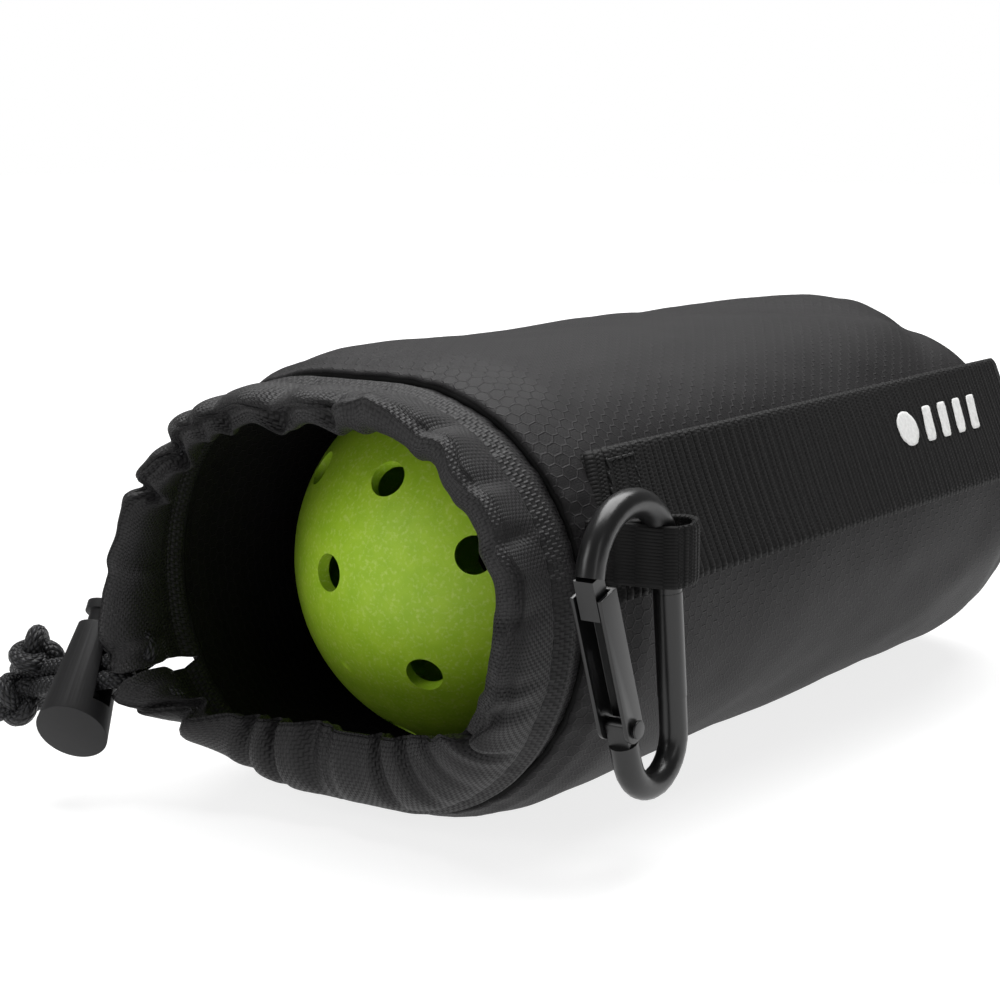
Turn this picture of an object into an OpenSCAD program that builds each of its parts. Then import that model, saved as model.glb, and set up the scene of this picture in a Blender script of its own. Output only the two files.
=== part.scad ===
// Drawstring ball bag with a strap, a carabiner, a cord lock and one perforated ball. Millimetres.
// The bag lies on its side: the mouth looks towards -Y, the strap and carabiner are on the +X side.

/* [Bag] */
// Height of the lying bag's tube
body_h = 81; // [79:0.5:84]
// Width of the lying bag's tube
body_w = 97; // [95:1:101]
// Length of the body from the collar seam to the base
body_len = 186; // [180:2:220]
// Height of the gathered seam between the body and the collar
seam_h = 75; // [73:0.5:76]
// Length of the gathered collar
collar_len = 21; // [20:1:24]
// Thickness of the body fabric with its lining
fabric_t = 1.2; // [1:0.1:1.5]
// Slope of the slumped base, in degrees
base_slope = 10; // [6:1:12]

/* [Ball] */
// Diameter of the perforated ball
ball_d = 73.6; // [73:0.2:74]
// Wall thickness of the ball
ball_t = 2.4; // [2:0.1:3]
// Diameter of the ball's holes
hole_d = 7; // [6:0.5:8]

/* [Strap] */
// Width of the handle webbing
strap_w = 25; // [22:1:26]
// Thickness of the handle webbing
strap_t = 1.4; // [1:0.1:1.6]
// Angle round the bag at which the strap sits
strap_angle = 22.5; // [20:0.5:25]
// Width of the carabiner's webbing loop
loop_w = 8; // [7:0.5:8]

/* [Carabiner] */
// Diameter of the carabiner's rod
rod_d = 4.8; // [4.2:0.2:5]
// Diameter of the gate rivet
rivet_d = 1.9; // [1.6:0.1:2]

/* [Cord lock] */
// Diameter of the drawcord
cord_d = 3.5; // [3.2:0.1:3.6]
// Diameter of the lock barrel at its foot
barrel_d = 14; // [13:0.5:14.5]
// Travel of the lock's button
press = 2.5; // [2:0.1:2.6]

/* [Hidden] */
$fn = 64;

// bag section: two half circles joined by flats
half_flat = (body_w - body_h) / 2;
tube_r = body_h / 2;
seam_r = seam_h / 2;
axis_z = tube_r;
rear_y = body_len;
reach_x = 61.3;                          // outermost point of the webbing loop, from the bag's axis
bag_x = (body_w / 2 - reach_x) / 2;    // the bag's axis in the row frame
bag_y = -(rear_y + 8 - collar_len) / 2;  // the collar seam in the row frame

// collar: its wall falls forward from the seam to the rim, which is lifted underneath and droops on top
collar_t = 1;
collar_r = seam_r - 0.5;
cord_r = cord_d / 2;
lining_t = 0.8;
hem_gap = 0.3;
hem_depth = 2 * cord_r + 2 * hem_gap + lining_t;
hem_from = 0.26;                         // the stitch line, as a share of the way from seam to rim
cord_share = 0.49;
rim_lift = 16.5;
rim_droop = 7.5;
under_reach = 7;                         // how much less the lifted underside reaches forward
slit = [[-collar_len - 1, 14], [-collar_len - 1, 32], [-2, 27.5], [-2, 20.5]];
slit_low = 222;                          // where the cord leaves the hem, as angles round the section
slit_high = 198;

// cord lock: place, turn and heights on its own axis
lock_at = [-50, -19.4, 22.5];
lock_turn = [-35, -12, 0];
strand_z = cord_r + 0.05;
stack_z = strand_z + cord_r + 0.1;
barrel_top = 8.8;
barrel_foot = -11.4;
foot_tilt = [-15.6, -11.8, 0];          // the slanted cut across the foot
bore_r = 3.1;
bore_foot = -9.2;
plunger_r = 3;
plunger_foot = -4.7;
spring_r = 0.22;
head_r = 3.9;
head_t = 1.8;
slot_w = cord_d + 0.6;
out = [-0.978, 0, -0.208];             // the way the cords run through the lock
up = [-0.17, 0.574, 0.801];            // the lock's own axis

// carabiner: its spine's place at the loop, its lean, and its outline in its own plane
clip_at = [56, 7.8, 50];
clip_lean = 6;
rod_r = rod_d / 2;
top_z = 13.5;
bow_r = 11.4;
bow_sweep = 168;
foot_r = 7.3;
foot_z = -27.6;
gate_lean = 13.5;
arm_len = 7.5;
pivot = [-foot_r - foot_r * cos(gate_lean) - arm_len * sin(gate_lean),
         foot_z - foot_r * sin(gate_lean) + arm_len * cos(gate_lean)];
arm_end = pivot - 3.2 * [-sin(gate_lean), cos(gate_lean)];
// the rod's centreline: up the arm's end, round the foot, up the spine and over the bow
outline = concat([arm_end],
                 [for (a = [180 + gate_lean : (180 - gate_lean) / 12 : 360.1]) [foot_r * (cos(a) - 1), foot_z + foot_r * sin(a)]],
                 [[0, foot_z + 10], [0, foot_z + 20]],
                 [for (a = [0 : 12 : bow_sweep]) [bow_r * (cos(a) - 1), top_z - bow_r + bow_r * sin(a)]]);
gate_len = 24.6;
gate_w = 5.8;
gate_d = 4.8;
gate_slot = 4.4;
tang_t = 3.8;
nose_t = 3.6;
rivet_r = rivet_d / 2;
loop_z = 48.5;

// ball
ball_r = ball_d / 2;
ball_at = [-6.4, 44, fabric_t + ball_r + 1];
ball_turn = [52, -41, -170];
hole_rows = [[4, 30, 12], [9, 62, 12], [9, 118, 32], [4, 150, 57]];  // count, angle from the pole, turn

// strap: distance from the section's centre and place along the bag, front to rear
strap_route = [[38.5, 2], [39.6, 6], [40.4, 11], [40.9, 16], [41.3, 30], [42.2, 48], [44, 70], [46.2, 95],
               [48.4, 122], [49.8, 146], [49.6, 151], [47, 155], [43, 156.5], [41, 159], [40.6, 163], [40.6, 172]];

// cord routes, in the bag's own frame
lead_a = [[-39.2, -14.9, 27.6], [-39.6, -15.6, 26.2], [-41.2, -16.9, 25.6]];
lead_b = [[-35, -15.4, 20.2], [-38.6, -17.6, 21.4]];
knot_at = 15;

module place() translate([bag_x, bag_y, 0]) children();

// 2-D section of the bag, with its centre at the origin
module section(r) {
    for (s = [-1, 1]) translate([s * half_flat, 0]) circle(r);
    square([2 * half_flat, 2 * r], center = true);
}

// section standing across the bag from y to y + len
module across(y, len) translate([0, y + len, axis_z]) rotate([90, 0, 0]) linear_extrude(len) children();

module ring(r, t, y, len) across(y, len) difference() { section(r); section(r - t); }

// collar wall: place along the bag and radius, at an angle, a share of the way and a depth into the wall
function ease(x) = let (t = min(max(x, 0), 1)) t * t * (3 - 2 * t);
function under(a) = ease((-sin(a) - 0.45) / 0.5);
function drop(a) = rim_lift * under(a) + rim_droop * ease((a - 62) / 40) * ease((188 - a) / 65);
function collar_at(a, t, inset) =
    let (d = drop(a), reach = collar_len - under_reach * under(a), w = 90 * t,
         v = [-reach * (cos(w) + 0.05), -d * sin(w)], n = [-v[1], v[0]] / norm(v))
    [-reach * sin(w), collar_r - d * (1 - cos(w))] + inset * n;
function collar_point(e, t, inset) = let (q = collar_at(e[1], t, inset))
    [e[0] + q[1] * cos(e[1]), q[0], axis_z + q[1] * sin(e[1])];

// rings round the body, front to rear: place along the bag, radius and slope
body_rings = [[0, seam_r, 0], [5, seam_r + 1.6, 0], [14, tube_r, 0], [rear_y - 22, tube_r, base_slope],
              [rear_y - 10, tube_r - 3, base_slope], [rear_y - 3, tube_r - 8, base_slope],
              [rear_y, tube_r - 14, base_slope]];
rim = concat([for (a = [-90 : 7.5 : 90]) [half_flat, a]], [for (a = [90 : 7.5 : 270]) [-half_flat, a]]);
function ring_points(q, inset) = let (r = q[1] - inset)
    [for (e = rim) [e[0] + r * cos(e[1]), q[0] - r * sin(e[1]) * tan(q[2]), axis_z + r * sin(e[1])]];

// a closed tube wall from rings that run along its outside and back along its inside
module tube_wall(rings) {
    n = len(rim);
    m = len(rings);
    faces = [for (i = [0 : m - 1]) for (k = [0 : n - 1]) let (j = (i + 1) % m, h = (k + 1) % n)
             each [[i * n + k, i * n + h, j * n + h], [i * n + k, j * n + h, j * n + k]]];
    polyhedron([for (r = rings) each r], faces);
}

module collar_wall(profile) tube_wall([for (q = profile) [for (e = rim) collar_point(e, q[0], q[1])]]);

module slit_cut(grow) {
    translate([-90, 0, 0]) rotate([90, 0, 90]) linear_extrude(70)
        polygon([[slit[0][0], slit[0][1] - grow], [slit[1][0], slit[1][1] + grow],
                 [slit[2][0], slit[2][1] + grow], [slit[3][0], slit[3][1] - grow]]);
}

// a piece in the strap's frame: X out from the section's centre, Y along the bag, Z up the webbing
module on_strap() translate([half_flat, 0, axis_z]) rotate([0, -strap_angle, 0]) children();

// a tube swept along points, each ring square to the route; no stretch of the route runs along ref
function unit(v) = v / norm(v);
function way(p, i) = unit(p[min(i + 1, len(p) - 1)] - p[max(i - 1, 0)]);
module sweep(p, r, n, ref) {
    rings = [for (i = [0 : len(p) - 1]) let (w = way(p, i), a = unit(cross(w, ref)), b = cross(a, w))
             for (k = [0 : n - 1]) p[i] + r * (cos(360 * k / n) * a + sin(360 * k / n) * b)];
    walls = [for (i = [0 : len(p) - 2]) for (k = [0 : n - 1])
             [i * n + k, i * n + (k + 1) % n, (i + 1) * n + (k + 1) % n, (i + 1) * n + k]];
    caps = [[for (k = [n - 1 : -1 : 0]) k], [for (k = [0 : n - 1]) (len(p) - 1) * n + k]];
    polyhedron(rings, concat(walls, caps));
}

module body_panel() color([0.09, 0.09, 0.1]) place()
    tube_wall(concat([for (q = body_rings) ring_points(q, 0)],
                     [for (i = [len(body_rings) - 1 : -1 : 0]) ring_points(body_rings[i], fabric_t)]));

// the lengthwise seam's turned edges, standing up inside the tube near the strap side
module side_seam() color([0.06, 0.06, 0.07]) place()
    translate([0, 20, 2 * tube_r - fabric_t - 2]) cube([half_flat, rear_y - 50, 2]);

module base_panel() color([0.09, 0.09, 0.1]) place() slice_plate(rear_y + 1.3, tube_r - 14.4, fabric_t);

module slice_plate(y, r, t) translate([0, y, axis_z]) rotate([90 + base_slope, 0, 0]) linear_extrude(t) section(r);

module base_binding() color([0.05, 0.05, 0.05]) place()
    translate([0, rear_y + 2.2, axis_z]) rotate([90 + base_slope, 0, 0]) linear_extrude(2) difference() {
        section(tube_r - 12.8);
        section(tube_r - 14);
    }

module collar_panel() color([0.12, 0.12, 0.13]) place() difference() {
    collar_wall(concat([for (k = [10 : -1 : 0]) [k / 10, 0]], [for (k = [0 : 10]) [k / 10, collar_t]]));
    slit_cut(0);
}

// the collar's turned hem: inner wall, rim fold and the fold at the stitch line
module cord_casing() color([0.11, 0.11, 0.12]) place() difference() {
    near = collar_t + 0.15;
    deep = collar_t + hem_depth;
    collar_wall(concat([[1, deep], [1, near], [0.96, near]],
                       [for (t = [0.96, 0.8, 0.6, 0.45, hem_from + 0.06]) [t, deep - lining_t]],
                       [[hem_from + 0.06, near], [hem_from, near]],
                       [for (t = [hem_from, 0.45, 0.6, 0.8]) [t, deep]]));
    slit_cut(0);
}

module collar_binding() color([0.06, 0.06, 0.06]) place() ring(collar_r + 1.3, 1.3, -1.9, 1.85);

// hem stitches: short bars on the collar, over the casing's inner fold
module hem_stitches() color([0.04, 0.04, 0.04]) place()
    for (s = [-1, 1]) for (a = [-80 : 8 : 80]) if (s > 0 || abs(a + 28) > 10)
        let (e = [s * half_flat, s > 0 ? a : 180 - a])
            translate(collar_point(e, hem_from + 0.03, -0.35)) rotate([0, -e[1], 0])
                cube([0.4, 0.6, 3], center = true);

// cord ring in the hem, from one side of the slit round to the other
module casing_cord() color([0.07, 0.07, 0.07]) place()
    sweep([for (e = concat([[-half_flat, slit_low], [-half_flat, 232]], [for (a = [240 : 10 : 270]) [-half_flat, a]],
                           [for (a = [-90 : 10 : 90]) [half_flat, a]], [for (a = [90 : 10 : 190]) [-half_flat, a]],
                           [[-half_flat, slit_high]])) cord_point(e)], cord_r, 8, [0, 1, 0]);
function cord_point(e) = collar_point([e[0], e[1]], cord_share, collar_t + hem_gap + cord_r);

module strand(lead, side_z) {
    mid = lock_at + side_z * up;
    sweep(concat(lead, [for (d = [-7.5, -3, 1.5, 6, 10]) mid + d * out]), cord_r, 8, [0, 1, 0]);
}

module drawcord_tails() color([0.07, 0.07, 0.07]) place() {
    strand(concat([cord_point([-half_flat, slit_high])], lead_a), strand_z);
    strand(concat([cord_point([-half_flat, slit_low])], lead_b), -strand_z);
}

module drawcord_knot() color([0.07, 0.07, 0.07]) place()
    hull($fn = 24) {
        translate(lock_at + knot_at * out + [1, 2, 6]) sphere(4.6);
        translate(lock_at + knot_at * out + [-1, 0, 0]) sphere(5.4);
        translate(lock_at + knot_at * out + [-1, -3, -5]) sphere(4.8);
    }

module cord_ends() color([0.07, 0.07, 0.07]) place() {
    low = lock_at + knot_at * out + [-4, -4, -6];
    high = lock_at + knot_at * out + [-4.4, 2, 0];
    sweep([low, low + [-3, -1, -0.6], low + [-6, -2.4, -0.8]], cord_r, 8, [0, 0, 1]);
    sweep([high, high + [-2, 0.6, 0], high + [-4, 1.6, 0]], cord_r, 8, [0, 0, 1]);
}

module on_lock() translate(lock_at) rotate(lock_turn) children();

module lock_body() color([0.08, 0.08, 0.08]) place() on_lock() difference() {
    translate([0, 0, barrel_foot - 3]) cylinder(r1 = barrel_d / 2, r2 = 4.4, h = barrel_top - barrel_foot + 3);
    translate([0, 0, barrel_foot]) rotate(foot_tilt) translate([-15, -15, -20]) cube([30, 30, 20]);
    translate([0, 0, bore_foot]) cylinder(r = bore_r, h = 30);
    translate([-10, -slot_w / 2, -stack_z - press]) cube([20, slot_w, 2 * stack_z + press]);
}

module lock_plunger() color([0.08, 0.08, 0.08]) place() on_lock() {
    difference() {
        translate([0, 0, plunger_foot]) cylinder(r = plunger_r, h = barrel_top + press + 0.4 - plunger_foot);
        translate([-10, -slot_w / 2, -stack_z]) cube([20, slot_w, 2 * stack_z + press]);
    }
    translate([0, 0, barrel_top + press + 0.3]) cylinder(r = head_r, h = head_t);
}

module lock_spring() color([0.7, 0.7, 0.72]) place() on_lock()
    sweep([for (a = [0 : 30 : 720])
           [2.2 * cos(a), 2.2 * sin(a), bore_foot + 0.3 + (plunger_foot - press - bore_foot - 0.6) * a / 720]],
          spring_r, 6, [0, 0, 1]);

module handle_strap() color([0.05, 0.05, 0.05]) place() on_strap()
    translate([0, 0, -strap_w / 2]) linear_extrude(strap_w)
        polygon(concat(strap_route, [for (i = [len(strap_route) - 1 : -1 : 0]) strap_route[i] + strap_t * leaf(i)]));

// outward normal of the strap's route
function leaf(i) = let (w = unit(strap_route[min(i + 1, len(strap_route) - 1)] - strap_route[max(i - 1, 0)]))
    [w[1], -w[0]];

module strap_front_stitches() color([0.03, 0.03, 0.03]) place() on_strap()
    for (z = [-10 : 2.5 : 10]) translate([strap_route[2][0] + strap_t + 0.3, 11, z]) cube([0.4, 0.7, 1.7], center = true);

module strap_rear_stitches() color([0.03, 0.03, 0.03]) place() on_strap()
    for (z = [-10 : 2.5 : 10]) translate([40.6 + strap_t + 0.2, 168, z]) cube([0.4, 0.7, 1.7], center = true);

// webbing loop round the carabiner's spine, with its sewn ends at the strap's front
module carabiner_loop() color([0.05, 0.05, 0.05]) place() translate([0, 0, loop_z]) linear_extrude(loop_w) {
    difference() {
        hull($fn = 40) {
            translate([clip_at[0], clip_at[1]]) circle(5.3);
            translate([51.2, 0.6]) circle(1.3);
        }
        hull($fn = 40) {
            translate([clip_at[0], clip_at[1] - 0.2]) circle(4.3);
            translate([52.2, 2.6]) circle(0.3);
        }
    }
    translate([46.9, -0.7]) square([4.4, 2.4]);
}

module loop_stitches() color([0.03, 0.03, 0.03]) place()
    for (k = [0 : 4]) translate([49, -0.9, loop_z + 0.9 + 1.5 * k]) cube([2.6, 0.4, 0.6], center = true);

// the carabiner's plane: origin on the spine, X along the row's +Y, Y up the spine, Z out along the row's +X
module clip_plane() translate(clip_at) rotate([clip_lean, 0, 0]) rotate([90, 0, 90]) children();

// the gate's own frame: origin at the pivot, Y up along the gate, X towards the spine
module gate_frame() clip_plane() translate(pivot) rotate([0, 0, gate_lean]) children();

module carabiner_frame() color([0.08, 0.08, 0.09]) place() difference() {
    union() {
        clip_plane() {
            sweep([for (q = outline) [q[0], q[1], 0]], rod_r, 16, [0, 0, 1]);
            translate([0, -22, 0]) rotate([-90, 0, 0]) cylinder(r = rod_r + 0.05, h = 18);
        }
        gate_frame() {
            translate([0, 0, -tang_t / 2]) cylinder(r = 1.3, h = tang_t);
            translate([-1.3, -4, -tang_t / 2]) cube([2.6, 4, tang_t]);
            translate([-2, gate_len - 4, -nose_t / 2]) cube([3.2, 7, nose_t]);
        }
    }
    gate_frame() translate([0, 0, -tang_t]) cylinder(r = rivet_r, h = 2 * tang_t);
}

module carabiner_gate() color([0.1, 0.1, 0.11]) place() gate_frame() difference() {
    union() {
        translate([-gate_d / 2, 0, -gate_w / 2]) cube([gate_d, gate_len, gate_w]);
        translate([0, 0, -gate_w / 2]) cylinder(r = gate_d / 2, h = gate_w);
    }
    translate([-gate_d, 0.5, -gate_slot / 2]) cube([gate_d + 1.6, gate_len + 1, gate_slot]);
    translate([-gate_d, -gate_d, -gate_slot / 2]) cube([2 * gate_d, gate_d + 0.6, gate_slot]);
    translate([0, 0, -gate_w]) cylinder(r = rivet_r + 0.05, h = 2 * gate_w);
}

module gate_rivet() color([0.12, 0.12, 0.12]) place() gate_frame() {
    translate([0, 0, -gate_w / 2 - 0.3]) cylinder(r = rivet_r, h = gate_w + 0.6);
    for (s = [-1, 1]) translate([0, 0, s * (gate_w / 2 + 0.55)]) cylinder(r = rivet_r + 0.6, h = 0.5, center = true);
}

module gate_spring() color([0.7, 0.7, 0.72]) place() gate_frame()
    translate([1.2, 3, 0]) rotate([-90, 0, 0]) cylinder(r = 0.35, h = 10);

module ball() color([0.66, 0.85, 0.1]) place() translate(ball_at) rotate(ball_turn) rotate([0, 0, -12]) difference() {
    sphere(ball_r);
    sphere(ball_r - ball_t);
    for (row = hole_rows) for (k = [0 : row[0] - 1])
        rotate([0, 0, row[2] + 360 * k / row[0]]) rotate([0, row[1], 0])
            translate([0, 0, ball_r - 2 * ball_t]) cylinder(d = hole_d, h = 3 * ball_t, $fn = 24);
}

body_panel();
side_seam();
base_panel();
base_binding();
collar_panel();
cord_casing();
collar_binding();
hem_stitches();
casing_cord();
drawcord_tails();
drawcord_knot();
cord_ends();
lock_body();
lock_plunger();
lock_spring();
handle_strap();
strap_front_stitches();
strap_rear_stitches();
carabiner_loop();
loop_stitches();
carabiner_frame();
carabiner_gate();
gate_rivet();
gate_spring();
ball();
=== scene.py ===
# %% [markdown]
# # A drawstring ball bag
#
# The bag is a soft black tube that lies on its side. Its front is a gathered collar with a drawcord in
# the hem, a cord lock, and a slit where the cord leaves. A webbing handle runs down one side, with a
# small carabiner in a loop at its front end, and one perforated ball sits inside the mouth.
#
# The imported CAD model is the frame. It is loaded first, and every finished piece goes where it says.

# %% Load the frame
import math

import bmesh
import bpy
from mathutils import Euler, Matrix, Vector, noise


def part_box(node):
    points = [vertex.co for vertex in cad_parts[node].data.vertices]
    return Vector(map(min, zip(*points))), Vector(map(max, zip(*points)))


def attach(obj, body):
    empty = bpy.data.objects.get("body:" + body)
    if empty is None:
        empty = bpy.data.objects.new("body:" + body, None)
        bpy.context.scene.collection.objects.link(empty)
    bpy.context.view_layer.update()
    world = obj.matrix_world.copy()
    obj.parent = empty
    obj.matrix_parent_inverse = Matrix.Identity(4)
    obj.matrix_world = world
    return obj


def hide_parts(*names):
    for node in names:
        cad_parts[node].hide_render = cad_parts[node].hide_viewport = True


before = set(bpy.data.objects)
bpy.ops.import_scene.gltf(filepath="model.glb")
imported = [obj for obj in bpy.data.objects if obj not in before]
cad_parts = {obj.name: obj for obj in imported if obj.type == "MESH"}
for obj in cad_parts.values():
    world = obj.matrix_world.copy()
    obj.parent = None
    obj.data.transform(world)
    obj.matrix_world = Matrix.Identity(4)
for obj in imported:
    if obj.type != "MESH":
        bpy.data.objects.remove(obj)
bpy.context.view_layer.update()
MM = 0.001

# %% [markdown]
# ## Places
#
# The tube's box gives the bag's axis, its seam line and its radius. All of the cloth is then laid out in
# millimetres from the middle of the collar seam, on the floor: X to the strap side, Y towards the base.

# %% The bag's own millimetres
panel_low, panel_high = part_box("body_panel")
TUBE_R = (panel_high[2] - panel_low[2]) / 2 / MM
HALF_FLAT = (panel_high[0] - panel_low[0]) / 2 / MM - TUBE_R
BAG_X = (panel_low[0] + panel_high[0]) / 2
BAG_Y = panel_low[1]
AXIS_Z = TUBE_R
REAR = 186
ARC = math.pi * TUBE_R
ROUND = 2 * ARC + 4 * HALF_FLAT


def bag(x, y, z):
    """A point in metres in the frame, from millimetres in the bag."""
    return Vector((BAG_X + x * MM, BAG_Y + y * MM, z * MM))


def section(share):
    """(middle, cosine, sine) of the outline at a share of the way round from the underside."""
    s = (share % 1) * ROUND
    if s < HALF_FLAT:
        return s, 0, -1
    if s < HALF_FLAT + ARC:
        a = (s - HALF_FLAT) / TUBE_R - math.pi / 2
        return HALF_FLAT, math.cos(a), math.sin(a)
    if s < 3 * HALF_FLAT + ARC:
        return 2 * HALF_FLAT + ARC - s, 0, 1
    if s < 3 * HALF_FLAT + 2 * ARC:
        a = (s - 3 * HALF_FLAT - ARC) / TUBE_R + math.pi / 2
        return -HALF_FLAT, math.cos(a), math.sin(a)
    return s - ROUND, 0, -1


def ease(x):
    t = min(max(x, 0), 1)
    return t * t * (3 - 2 * t)


def glide(knots, x):
    """A smooth line through rows of (place, value, ...), at a place; it never overshoots a row."""
    if x <= knots[0][0]:
        return knots[0][1:]
    for a, b in zip(knots, knots[1:]):
        if x <= b[0]:
            t = ease((x - a[0]) / (b[0] - a[0]))
            return tuple(p + (q - p) * t for p, q in zip(a[1:], b[1:]))
    return knots[-1][1:]


def ripple(share, along, waves, seed):
    """Smooth noise from -1 to 1 that closes on itself round the bag."""
    k = waves * 0.25
    turn = 2 * math.pi * share
    return noise.noise(Vector((k * math.cos(turn) + seed, k * math.sin(turn) + 3.7 * seed, along)))


print(f"tube radius {TUBE_R:.1f} mm, way round {ROUND:.0f} mm")

# %% [markdown]
# ## Camera
#
# A long lens from the front, a little above the bag and to its strap side.

# %% Camera
LENS = 79.2
PITCH_DOWN, YAW = 9.611, 35.448
camera = bpy.data.objects.new("camera", bpy.data.cameras.new("camera"))
bpy.context.scene.collection.objects.link(camera)
camera.data.lens = LENS
camera.data.sensor_width = 36
camera.data.clip_end = 20
camera.location = bag(237.5, -293.9, 120.6)
camera.rotation_euler = Euler((math.radians(90 - PITCH_DOWN), 0, math.radians(YAW)))
bpy.context.scene.camera = camera

# %% [markdown]
# ## Two ways to make a soft piece
#
# Cloth is a sheet of quads whose points a function places, with a UV map in metres of cloth, so that a
# weave keeps its true scale. A cord is a tube that follows points, with a UV map round and along it.

# %% Cloth and cord makers
def keep(obj, body, slot, *nodes):
    """Puts a piece on its body and hides the CAD nodes it stands for; slot is not used."""
    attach(obj, body)
    if nodes:
        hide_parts(*nodes)
    return obj


def mesh_piece(name, points, faces, uvs, material):
    mesh = bpy.data.meshes.new(name)
    mesh.from_pydata(points, [], faces)
    layer = mesh.uv_layers.new(name="cloth")
    for loop, uv in zip(layer.data, uvs):
        loop.uv = uv
    mesh.materials.append(material)
    obj = bpy.data.objects.new(name, mesh)
    bpy.context.scene.collection.objects.link(obj)
    for polygon in mesh.polygons:
        polygon.use_smooth = True
    return obj


def cloth(name, across, along, place, flat, material, closed=False):
    """A sheet of quads: place(u, v) gives a point in metres, flat its size in metres."""
    columns = across if closed else across + 1
    points = [place(i / across, j / along) for j in range(along + 1) for i in range(columns)]
    faces, uvs = [], []
    for j in range(along):
        for i in range(across):
            h = (i + 1) % columns
            faces.append((j * columns + i, j * columns + h, (j + 1) * columns + h, (j + 1) * columns + i))
            for u, v in ((i, j), (i + 1, j), (i + 1, j + 1), (i, j + 1)):
                uvs.append((u / across * flat[0], v / along * flat[1]))
    return mesh_piece(name, points, faces, uvs, material)


def smooth_route(points, steps):
    """A smooth line through points, with steps between each two."""
    p = [Vector(q) for q in points]
    p = [2 * p[0] - p[1]] + p + [2 * p[-1] - p[-2]]
    route = []
    for a, b, c, d in zip(p, p[1:], p[2:], p[3:]):
        for k in range(steps):
            t = k / steps
            bend, turn = 2 * a - 5 * b + 4 * c - d, 3 * b - a - 3 * c + d
            route.append(0.5 * (2 * b + (c - a) * t + bend * t * t + turn * t**3))
    return route + [p[-2]]


def tube(name, route, radius, sides, material, closed=False, oval=1.0, up=Vector((0, 0, 1))):
    """A tube along a route in metres. radius is a number or a function of the share of the way."""
    n = len(route)
    size = radius if callable(radius) else lambda share: radius
    points, length, side = [], [0.0], None
    for i, p in enumerate(route):
        before, after = route[(i - 1) % n] if closed or i else p, route[(i + 1) % n] if closed or i < n - 1 else p
        way = (after - before).normalized()
        side = way.cross(up) if side is None else side - side.dot(way) * way
        side.normalize()
        other = way.cross(side)
        r = size(i / (n - 1))
        for k in range(sides):
            a = 2 * math.pi * k / sides
            points.append(p + r * (math.cos(a) * side + oval * math.sin(a) * other))
        if i:
            length.append(length[-1] + (p - route[i - 1]).length)
    faces, uvs = [], []
    girth = 2 * math.pi * size(0.5)
    rows = n if closed else n - 1
    length.append(length[-1] + (route[0] - route[-1]).length)
    for i in range(rows):
        for k in range(sides):
            j, h = (i + 1) % n, (k + 1) % sides
            faces.append((i * sides + k, j * sides + k, j * sides + h, i * sides + h))
            for u, v in ((k, i), (k, i + 1), (k + 1, i + 1), (k + 1, i)):
                uvs.append((u / sides * girth, length[v]))
    if not closed:
        for ring, turn in ((0, 1), (n - 1, -1)):
            faces.append(tuple(ring * sides + k for k in range(sides))[::turn])
            uvs += [(0, length[ring])] * sides
    piece = mesh_piece(name, points, faces, uvs, material)
    outwards(piece)
    return piece


def outwards(obj):
    """Merges doubles, then turns every face outwards."""
    work = bmesh.new()
    work.from_mesh(obj.data)
    bmesh.ops.remove_doubles(work, verts=work.verts, dist=1e-6)
    bmesh.ops.recalc_face_normals(work, faces=work.faces)
    work.to_mesh(obj.data)
    work.free()


def choose(obj):
    """Makes a piece the only selected and active one."""
    bpy.ops.object.select_all(action="DESELECT")
    obj.select_set(True)
    bpy.context.view_layer.objects.active = obj


def finish_with(obj, kind, **settings):
    """Adds one modifier and applies it."""
    choose(obj)
    modifier = obj.modifiers.new(kind.lower(), kind)
    for key, value in settings.items():
        setattr(modifier, key, value)
    bpy.ops.object.modifier_apply(modifier=modifier.name)
    return obj


# %% [markdown]
# ## Finishes
#
# Each finish is a small tree of nodes on one shader. The helper below adds a node and fills its inputs,
# so a pattern reads as a short list of steps. Patterns come from the cloth's UV map, in metres, or from
# Object coordinates on moulded pieces.

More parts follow.
